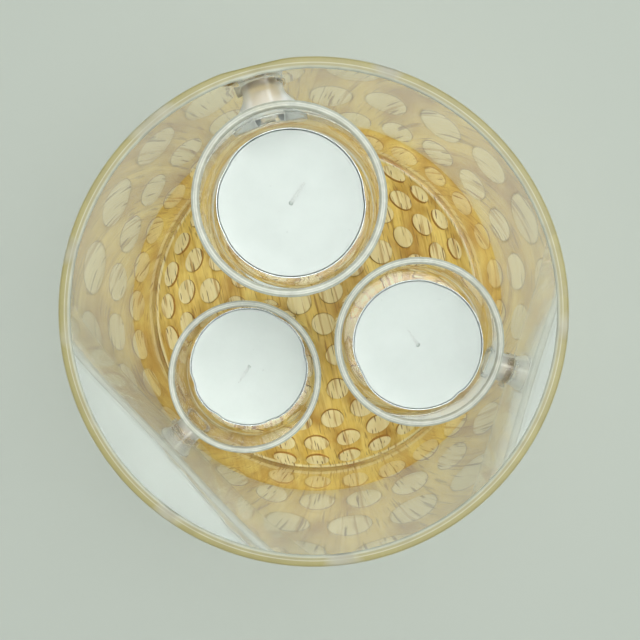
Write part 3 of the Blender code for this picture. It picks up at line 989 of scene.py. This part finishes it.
@dataclass
class FusedGlass:
    """The glass cylinder with its three cups, all one piece of glass."""

    finishes: Finishes
    wall: float = 2.8 * MM
    rim_round: float = 0.60 * MM
    foot_round: float = 0.5 * MM
    settle: float = 0.12 * MM
    cup_wall: float = 2.0 * MM
    cup_floor: float = 2.5 * MM
    cup_rim_round: float = 0.85 * MM
    heel: float = 4.5 * MM
    inner_heel: float = 1.5 * MM
    push_up: float = 0.5 * MM
    bite: float = 0.9 * MM
    squareness: float = 0.8
    pull_angle: float = 0.13
    pull_depth: float = 9.0 * MM
    pull_wave: float = 7.0 * MM
    touch: float = 0.05 * MM
    tube_slack: float = 0.8 * MM
    ring_limit: float = 1.14
    bar_reach: float = 2.6
    haze_reach: float = 5.0 * MM
    under_haze: float = 0.04
    cup_haze: float = 0.4
    spread: dict[Level, float] = field(default_factory=lambda: {
        Level.UPPER: 1.30, Level.MIDDLE: 0.25, Level.LOWER: 0.30})
    joint_width: dict[Level, float] = field(default_factory=lambda: {
        Level.UPPER: 11.0 * MM, Level.MIDDLE: 8.8 * MM, Level.LOWER: 9.5 * MM})

    def cylinder(self) -> Shell:
        """Turn the tube, its rim softened by fire and drawn out of true by the upper cup's joint.

        Returns:
            The tube.
        """
        low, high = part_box("glass_cylinder")
        outer, inner = high.x, high.x - self.wall
        rim, foot = self.rim_round, self.foot_round
        shoulder, ankle = high.z - rim - self.settle, low.z + foot + self.settle
        profile = np.concatenate([
            arc(outer - foot, low.z + foot, foot, -90, 0, 4), [[outer, ankle]],
            line((outer, ankle), (outer, shoulder), 40), [[outer, shoulder]],
            arc(outer - rim, high.z - rim, rim, 0, 90, 10),
            arc(inner + rim, high.z - rim, rim, 90, 180, 10), [[inner, shoulder]],
            line((inner, shoulder), (inner, ankle), 40), [[inner, ankle]],
            arc(inner + foot, low.z + foot, foot, 180, 270, 4)])
        shell = lathe(profile, 256, closed=True)
        return self.soften_rim(shell, high.z)

    def soften_rim(self, shell: Shell, top: float) -> Shell:
        """Pull the rim in and down by fractions of a millimetre where the upper bridge was fused.

        The pull is an uneven ripple, faded by angle from the bridge and by depth below the rim.

        Args:
            shell: the tube.
            top: the height of its rim.

        Returns:
            The same tube, its points moved.
        """
        low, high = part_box("upper_bridge")
        joint = (low + high) / 2
        angle = np.arctan2(shell.points[:, 1], shell.points[:, 0]) - math.atan2(joint.y, joint.x)
        angle = (angle + math.pi) % TAU - math.pi
        near = np.exp(-(angle / self.pull_angle) ** 2)
        near *= soft_step(shell.points[:, 2], top - self.pull_depth, top - 0.5 * MM)
        wave = ripple(shell.points, self.pull_wave, 21).clip(-1, 1)
        across = np.hypot(shell.points[:, 0], shell.points[:, 1])
        shrink = 1.0 - near * (0.25 + 0.20 * wave) * MM / across
        shell.points[:, :2] *= shrink[:, None]
        shell.points[:, 2] -= near * (0.14 + 0.12 * wave) * MM
        return shell

    def cup(self, level: Level) -> Shell:
        """Turn one straight cup with a rounded heel and a fire-polished rim.

        Args:
            level: which of the cups.

        Returns:
            The cup, in its place.
        """
        centre, radius, tall = upright(f"{level.value}_cup")
        rim, heel, inner_heel, floor = self.cup_rim_round, self.heel, self.inner_heel, self.cup_floor
        inner, shoulder = radius - self.cup_wall, tall - rim - self.settle
        ankle = floor + inner_heel + self.settle
        profile = np.concatenate([
            [[0.0, self.push_up]], line((0.0, self.push_up), (radius - heel, 0.0), 10),
            arc(radius - heel, heel, heel, -90, 0, 12), [[radius, heel + self.settle]],
            line((radius, heel + self.settle), (radius, shoulder), 20), [[radius, shoulder]],
            arc(radius - rim, tall - rim, rim, 0, 90, 8),
            arc(inner + rim, tall - rim, rim, 90, 180, 8), [[inner, shoulder]],
            line((inner, shoulder), (inner, ankle), 20), [[inner, ankle]],
            arc(inner - inner_heel, floor + inner_heel, inner_heel, 0, -90, 8),
            line((inner - inner_heel, floor), (0.0, floor), 10), [[0.0, floor]]])
        return lathe(profile, 160, centre)

    def bridge(self, level: Level) -> Shell:
        """The bar of glass between a cup and the wall, flared where it runs into each.

        Station s of the bar is a rounded rectangle. Its sides reach from the cup's round wall to
        the cylinder's, so point (s, a) lies at start + (end - start) s along the bar, where start
        and end are those walls at the point's own sideways place, each moved a bite into the glass.

        Args:
            level: which cup's bridge.

        Returns:
            The bar, both ends inside the glass that it joins.
        """
        low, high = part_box(f"{level.value}_bridge")
        centre, cup_radius, _ = upright(f"{level.value}_cup")
        middle, cup = (low + high) / 2, np.array(centre[:2])
        angle = math.atan2(middle.y, middle.x)
        along = np.array([math.cos(angle), math.sin(angle)])
        across = np.array([-math.sin(angle), math.cos(angle)])
        half_wide, half_tall = self.joint_width[level] / 2, (high.z - low.z) / 2
        cup_radius -= self.bite
        wall_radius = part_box("glass_cylinder")[1].x - self.wall + self.bite
        share = np.linspace(0.0, 1.0, 25)[:, None]
        flare = 0.86 + 0.14 * share ** 3 + self.spread[level] * (1.0 - share) ** 3
        turn = TAU * np.arange(40)[None] / 40
        wide = np.sign(np.cos(turn)) * np.abs(np.cos(turn)) ** self.squareness
        tall = np.sign(np.sin(turn)) * np.abs(np.sin(turn)) ** self.squareness
        off_cup = wide * half_wide * flare
        sideways = cup @ across + off_cup
        upward = middle.z + tall * half_tall * np.minimum(flare, 1.0)
        start = cup @ along + np.sqrt(cup_radius ** 2 - off_cup ** 2)
        end = np.sqrt(wall_radius ** 2 - sideways ** 2)
        reach = start + (end - start) * share
        flat = reach[..., None] * along + sideways[..., None] * across
        rings = np.concatenate([flat, np.broadcast_to(upward[..., None], (*flat.shape[:2], 1))], axis=2)
        poles = rings[[0, -1]].mean(axis=1)
        quads, tris = ring_faces(rings.shape[0], rings.shape[1], closed=False)
        return Shell(np.concatenate([rings.reshape(-1, 3), poles]), quads, tris).outward()

    def rim_places(self, points: np.ndarray) -> tuple[np.ndarray, dict[str, np.ndarray]]:
        """Where points lie on the rims and the joints.

        Args:
            points: places on the fused surface.

        Returns:
            The glass zone of each point, and by name its share across a rim (0 inside, 1
            outside), its share across a joint (0 to 1 from side to side) and the haze that a
            joint has close to its cup.
        """
        zone = np.full(len(points), GlassZone.CLEAR.value)
        rim, joint, haze = np.zeros(len(points)), np.zeros(len(points)), np.zeros(len(points))
        low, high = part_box("glass_cylinder")
        across, height = np.hypot(points[:, 0], points[:, 1]), points[:, 2]
        inner = high.x - self.wall
        on_tube = across > inner - self.tube_slack
        on_rim = on_tube & (height > high.z - 1.4 * self.rim_round)
        rim[on_rim] = (across[on_rim] - inner) / self.wall
        zone[on_rim] = GlassZone.TUBE_RIM.value
        for level in Level:
            centre, radius, tall = upright(f"{level.value}_cup")
            away = np.hypot(points[:, 0] - centre.x, points[:, 1] - centre.y)
            up = height - centre.z
            on_cup = (away < radius + self.touch / 2) & (up > -MM) & (up < tall + MM)
            on_rim = on_cup & (away > radius - self.cup_wall - 2 * self.touch)
            on_rim &= up > tall - 1.05 * self.cup_rim_round
            rim[on_rim] = (away[on_rim] - radius + self.cup_wall) / self.cup_wall
            zone[on_rim] = GlassZone.CUP_RIM.value
            low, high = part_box(f"{level.value}_bridge")
            middle, half_wide = (low + high) / 2, self.joint_width[level] / 2
            angle = math.atan2(middle.y, middle.x)
            side = points[:, 1] * math.cos(angle) - points[:, 0] * math.sin(angle)
            side -= middle.y * math.cos(angle) - middle.x * math.sin(angle)
            half_tall = (high.z - low.z) / 2
            ring = np.hypot(side / half_wide, (height - middle.z) / half_tall)
            near = ~on_tube | ((ring < self.ring_limit) & (across < inner + self.touch))
            near &= ~on_cup & (np.abs(side) < self.bar_reach * half_wide)
            near &= (height > low.z - MM) & (height < high.z + MM)
            near &= points[:, 0] * middle.x + points[:, 1] * middle.y > 0
            zone[near] = (GlassZone.JOINT if level is Level.UPPER else GlassZone.BAR).value
            joint[near] = np.clip(0.5 + side[near] / (2.0 * half_wide), 0.0, 1.0)
            close = 1.0 - soft_step(away[near] - radius, 0.0, self.haze_reach)
            haze[near] = np.where(height[near] < middle.z, self.under_haze, self.cup_haze * close)
        return zone, {"rim_share": rim.clip(0.0, 1.0), "joint_share": joint, "joint_haze": haze}

    def mark(self, item: bpy.types.Object) -> None:
        """Store the rim and joint shares on the points, and the glass zone on the faces.

        Args:
            item: the fused glass.
        """
        mesh = item.data
        mesh.materials.clear()
        for material in (self.finishes.glass, self.finishes.tube_rim, self.finishes.cup_rim,
                         self.finishes.joint, self.finishes.bar):
            mesh.materials.append(material)
        points = np.empty(3 * len(mesh.vertices))
        mesh.vertices.foreach_get("co", points)
        _, shares = self.rim_places(points.reshape(-1, 3))
        for name, values in shares.items():
            stored = mesh.attributes.new(name, "FLOAT", "POINT")
            stored.data.foreach_set("value", values.astype(np.float32))
        centres = np.empty(3 * len(mesh.polygons))
        mesh.polygons.foreach_get("center", centres)
        zone, _ = self.rim_places(centres.reshape(-1, 3))
        mesh.polygons.foreach_set("material_index", zone.astype(np.int32))

    def build(self) -> list[bpy.types.Object]:
        """Fuse the tube, the bridges and the cups into one surface on the glass body.

        Returns:
            The one piece of glass.
        """
        glass = [self.finishes.glass]
        tube = self.cylinder().to_object("fused_glass", glass)
        added = []
        for level in Level:
            added.append(self.bridge(level).to_object(f"{level.value}_bar", glass))
            added.append(self.cup(level).to_object(f"{level.value}_vessel", glass))
        fuse(tube, added)
        self.mark(tube)
        parts = [f"{level.value}_{part}" for level in Level for part in ("cup", "bridge")]
        return [attach(tube, Body.GLASS, ["glass_cylinder", *parts])]


# -------- The tealights --------


@dataclass(frozen=True)
class Dent:
    """A place where the can's thin edge was pushed in."""

    angle_deg: float
    width_deg: float
    depth: float


@dataclass
class Tealight:
    """One tealight: a foil can, its wax, the wick and the tab that holds it."""

    level: Level
    body: Body
    finishes: Finishes
    dents: tuple[Dent, ...]
    foil: float = 0.22 * MM
    flare: float = 0.8 * MM
    heel: float = 1.0 * MM
    roll: float = 0.16 * MM
    sag: float = 0.06 * MM
    most_sag: float = 0.1 * MM
    sag_wave: float = 14.0 * MM
    wax_drop: float = 0.45 * MM
    shrink_gap: float = 0.22 * MM
    wick_radius: float = 0.62 * MM
    groove_depth: float = 0.04 * MM
    groove_width: float = 1.9 * MM

    def __post_init__(self) -> None:
        """Read the can's place and the wick's direction from the frame."""
        self.centre, self.radius, self.tall = upright(f"{self.level.value}_can")
        low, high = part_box(f"{self.level.value}_wick")
        tail = (low + high) / 2 - self.centre
        self.wick_angle = math.atan2(tail.y, tail.x)
        self.wick_tail = max(high.x - low.x, high.y - low.y)

    def push_in(self, shell: Shell) -> Shell:
        """Push every point in by the dents, fully at the can's edge and not at all at its foot.

        The radius is scaled by 1 - sum of depth exp(-(angle / width)^2) / radius.

        Args:
            shell: a piece of this tealight.

        Returns:
            The same shell, its points moved.
        """
        flat = shell.points[:, :2] - np.array(self.centre[:2])
        angle = np.arctan2(flat[:, 1], flat[:, 0])
        across = np.hypot(flat[:, 0], flat[:, 1])
        height = soft_step(shell.points[:, 2], self.centre.z, self.centre.z + self.tall)
        push = np.zeros(len(flat))
        for dent in self.dents:
            away = (angle - math.radians(dent.angle_deg) + math.pi) % TAU - math.pi
            push += dent.depth * np.exp(-(away / math.radians(dent.width_deg)) ** 2)
        keep = 1.0 - push * height * (across / self.radius) ** 4 / self.radius
        shell.points[:, :2] = np.array(self.centre[:2]) + flat * keep[:, None]
        return shell

    def can(self) -> Shell:
        """Draw the can: flat foot, rounded heel, slightly flaring wall and a thin rolled edge.

        Returns:
            The can, dented.
        """
        foot, heel, foil, top = self.radius - self.flare, self.heel, self.foil, self.tall
        roll = self.roll
        profile = np.concatenate([
            [[0.0, 0.0]], line((0.0, 0.0), (foot - heel, 0.0), 6),
            arc(foot - heel, heel, heel, -90, 0, 6),
            line((foot, heel), (self.radius - roll / 4, top - 2 * roll), 16),
            arc(self.radius - roll, top - roll, roll, 0, 180, 8),
            line((self.radius - 2 * roll, top - roll), (foot - foil, heel), 16),
            arc(foot - heel, heel, heel - foil, 0, -90, 6),
            line((foot - heel, foil), (0.0, foil), 6), [[0.0, foil]]])
        return self.push_in(lathe(profile, 192, self.centre))

    def wax(self) -> Shell:
        """Pour the wax to just under the can's edge, with the groove that the wick was pressed into.

        The groove's depth is a soft box: one soft step across the wick and one along its tail.

        Returns:
            The wax, dented like its can.
        """
        top, low = self.tall - self.wax_drop, self.foil + self.heel
        rim = self.radius - 2 * self.roll - 0.01 * MM - self.shrink_gap
        foot = self.radius - self.flare - self.foil - 0.1 * MM
        bore, wide = self.wick_radius - 0.04 * MM, self.wick_radius + 1.1 * MM
        collar, level, lip = 3.9 * MM, 9.0 * MM, 1.0 * MM
        profile = np.concatenate([
            [[wide, low]], line((wide, low), (foot, low), 5),
            [[foot, low]], line((foot, low), (rim, top - 0.1 * MM), 10),
            [[rim, top + 0.05 * MM]], line((rim, top + 0.05 * MM), (rim - lip, top), 4),
            line((rim - lip, top), (level, top), 14), line((level, top), (bore, top), 36),
            [[bore, top]], [[bore, top - lip]], [[bore, collar]], [[wide, collar]]])
        shell = lathe(profile, 192, self.centre, closed=True)
        flat = shell.points[:, :2] - np.array(self.centre[:2])
        along = flat @ np.array([math.cos(self.wick_angle), math.sin(self.wick_angle)])
        across = np.abs(flat @ np.array([-math.sin(self.wick_angle), math.cos(self.wick_angle)]))
        on_top = shell.points[:, 2] > self.centre.z + top - 0.5 * MM
        half = self.groove_width / 2
        groove = 1.0 - soft_step(across, 0.5 * half, half + 0.2 * MM)
        groove *= soft_step(along, -0.6 * MM, 0.4 * MM)
        groove *= 1.0 - soft_step(along, self.wick_tail + 0.3 * MM, self.wick_tail + 1.6 * MM)
        sag = self.sag * ripple(shell.points, self.sag_wave, 31 + len(self.dents))
        sag = sag.clip(-self.most_sag, self.most_sag)
        shell.points[:, 2] += on_top * (sag - groove * self.groove_depth)
        return self.push_in(shell)

    def wick(self) -> Shell:
        """Lead the wick up through the wax, then bend it over and press it flat.

        Ring s is centre(s) + side w(s) cos a + rise h(s) sin a, with a shallow braid on its radius.

        Returns:
            The wick.
        """
        stations, sides = 90, 20
        bend, low, plait = 1.2 * MM, 2.0 * MM, 1.7 * MM
        lying = self.tall - self.wax_drop - 0.30 * MM
        share = np.linspace(0.0, 1.0, stations)
        up, quarter, out = lying - bend - low, bend * math.pi / 2, self.wick_tail - bend - 0.4 * MM
        run = share * (up + quarter + out)
        turn = np.clip((run - up) / quarter, 0.0, 1.0) * math.pi / 2
        flat = bend * (1 - np.cos(turn)) + np.maximum(run - up - quarter, 0.0)
        rise = low + np.minimum(run, up) + bend * np.sin(turn)
        pressed = soft_step(run, up, up + quarter + 1.0 * MM)
        wide = self.wick_radius * (1.0 + 0.15 * pressed)
        deep = self.wick_radius * (1.0 - 0.50 * pressed)
        around = TAU * np.arange(sides) / sides
        braid = 1.0 + 0.07 * np.cos(3 * around[None] + TAU * run[:, None] / plait)
        offset_side = wide[:, None] * np.cos(around) * braid
        offset_deep = deep[:, None] * np.sin(around) * braid
        upright = np.where(turn < 1.5, np.cos(turn), 0.0)
        reach = flat[:, None] - offset_deep * upright[:, None]
        height = rise[:, None] + offset_deep * np.sin(turn)[:, None]
        cos, sin = math.cos(self.wick_angle), math.sin(self.wick_angle)
        points = np.stack([reach * cos - offset_side * sin,
                           reach * sin + offset_side * cos, height], axis=-1)
        poles = points[[0, -1]].mean(axis=1)
        quads, tris = ring_faces(stations, sides, closed=False)
        points = np.concatenate([points.reshape(-1, 3), poles]) + np.array(self.centre)
        return Shell(points, quads, tris).outward()

    def tab(self) -> Shell:
        """Press the tab: a disc with a crimped collar round the wick.

        Returns:
            The tab.
        """
        inside, outside, rim, thick, root = 1.0 * MM, 1.5 * MM, 6.0 * MM, 0.4 * MM, 0.3 * MM
        low, high = self.foil + 0.35 * MM, self.foil + 3.4 * MM
        profile = np.concatenate([
            [[inside, low]], [[rim, low]], [[rim + 0.1 * MM, low + thick / 2]], [[rim, low + thick]],
            line((rim, low + thick), (outside + root, low + thick), 4),
            arc(outside + root, low + thick + root, root, 270, 180, 4),
            [[outside, high - 0.2 * MM]], [[(inside + outside) / 2, high]],
            [[inside, high - 0.2 * MM]]])
        return lathe(profile, 64, self.centre, closed=True)

    def build(self) -> list[bpy.types.Object]:
        """Make the four pieces and put them on the tealight's body.

        Returns:
            The can, the wax, the wick and its tab.
        """
        name = self.level.value
        plan = (("can", self.can(), self.finishes.foil, Slot.ALUMINIUM),
                ("wax", self.wax(), self.finishes.wax, Slot.WAX),
                ("wick", self.wick(), self.finishes.cotton, Slot.COTTON),
                ("wick_tab", self.tab(), self.finishes.foil, Slot.ALUMINIUM))
        made = []
        for part, shell, material, slot in plan:
            piece = shell.to_object(f"{name}_tealight_{part}", [material], 45.0)
            made.append(attach(piece, self.body, [f"{name}_{part}"]))
        return made


# -------- The studio --------


@dataclass
class Studio:
    """A plain pale floor, soft light from all round, and a camera looking almost straight down."""

    floor_half: float = 12.0
    lens: float = 67.5
    height_over_rim: float = 0.2813
    stand: tuple[float, float] = (0.00246, 0.00389)
    lean: tuple[float, float] = (1.0 / 300.0, 1.0 / 50.0)
    pale: tuple[float, float, float] = (0.97, 1.0, 0.985)
    sky_strength: float = 0.32
    lamp_size: float = 1.1
    lamp_energy: float = 12.4
    lamp_place: tuple[float, float, float] = (0.16, 0.14, 1.34)
    lamp_aim: tuple[float, float, float] = (0.0, 0.0, 0.05)
    bounces: int = 32

    def floor(self) -> None:
        """The surface that the holder stands on: a flat grid just under the felt."""
        cells = 8
        edge = np.linspace(-self.floor_half, self.floor_half, cells + 1)
        across, deep = np.meshgrid(edge, edge, indexing="ij")
        points = np.stack([across, deep, np.zeros_like(across)], axis=-1).reshape(-1, 3)
        row, column = np.divmod(np.arange(cells * cells), cells)
        corner = row * (cells + 1) + column
        quads = np.stack([corner, corner + cells + 1, corner + cells + 2, corner + 1], axis=1)
        shell = Shell(points, quads, np.zeros((0, 3), int))
        shell.to_object("pale_floor", [PaleFloor("pale_floor").build()])

    def light(self) -> None:
        """An even pale sky and one broad soft lamp above and to one side."""
        world = bpy.data.worlds.new("soft_surround")
        world.use_nodes = True
        sky = world.node_tree.nodes["Background"]
        sky.inputs["Color"].default_value = (*self.pale, 1.0)
        sky.inputs["Strength"].default_value = self.sky_strength
        bpy.context.scene.world = world
        lamp = bpy.data.lights.new("soft_lamp", "AREA")
        lamp.shape = "DISK"
        lamp.size = self.lamp_size
        lamp.energy = self.lamp_energy
        lamp.color = (0.99, 1.0, 0.985)
        holder = bpy.data.objects.new("soft_lamp", lamp)
        holder.location = self.lamp_place
        aim = Vector(self.lamp_aim) - holder.location
        holder.rotation_euler = aim.to_track_quat("-Z", "Y").to_euler()
        bpy.context.scene.collection.objects.link(holder)

    def camera(self) -> None:
        """The camera over the rim, leaning by the small angles whose tangents are in lean."""
        data = bpy.data.cameras.new("overhead")
        data.lens = self.lens
        data.sensor_width = 36.0
        data.clip_start, data.clip_end = 0.01, 20.0
        eye = bpy.data.objects.new("overhead", data)
        right, up = self.lean
        turn = Matrix.Rotation(math.atan(right), 4, "Y") @ Matrix.Rotation(-math.atan(up), 4, "X")
        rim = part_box("glass_cylinder")[1].z
        eye.matrix_world = Matrix.Translation((*self.stand, rim + self.height_over_rim)) @ turn
        bpy.context.scene.collection.objects.link(eye)
        bpy.context.scene.camera = eye

    def build(self) -> None:
        """Set up the floor, the light, the camera and how far light is followed through glass."""
        self.floor()
        self.light()
        self.camera()
        scene = bpy.context.scene
        scene.view_settings.view_transform = "Standard"
        scene.cycles.blur_glossy = 0.0
        scene.cycles.max_bounces = self.bounces
        scene.cycles.transmission_bounces = self.bounces
        scene.cycles.glossy_bounces = 24


TEALIGHTS = {
    Level.UPPER: (Body.UPPER, (Dent(8.0, 7.0, 0.25 * MM), Dent(152.0, 9.0, 0.35 * MM),
                               Dent(205.0, 6.0, 0.2 * MM))),
    Level.MIDDLE: (Body.MIDDLE, (Dent(206.0, 13.0, 0.7 * MM), Dent(310.0, 5.0, 0.45 * MM),
                                 Dent(70.0, 8.0, 0.25 * MM))),
    Level.LOWER: (Body.LOWER, (Dent(196.0, 7.0, 0.55 * MM), Dent(236.0, 6.0, 0.45 * MM),
                               Dent(12.0, 6.0, 0.5 * MM), Dent(58.0, 9.0, 0.5 * MM),
                               Dent(292.0, 6.0, 0.4 * MM))),
}


def report(title: str, pieces: list[bpy.types.Object]) -> None:
    """Log each piece of a sub-assembly with its size.

    Args:
        title: the sub-assembly's name.
        pieces: what was built for it.
    """
    for piece in pieces:
        size = [round(part / MM, 1) for part in piece.dimensions]
        log.info("%s: %s, %d faces, %s mm", title, piece.name, len(piece.data.polygons), size)


def main() -> None:
    """Build the holder's sub-assemblies and the studio."""
    logging.basicConfig(level=logging.INFO, format="%(name)s %(message)s")
    finishes = Finishes.make()
    report("base", CarvedBase(finishes).build())
    report("feet", FeltFeet(finishes).build())
    report("glass", FusedGlass(finishes).build())
    for level, (body, dents) in TEALIGHTS.items():
        report(f"{level.value} tealight", Tealight(level, body, finishes, dents).build())
    Studio().build()


if __name__ == "__main__":
    main()
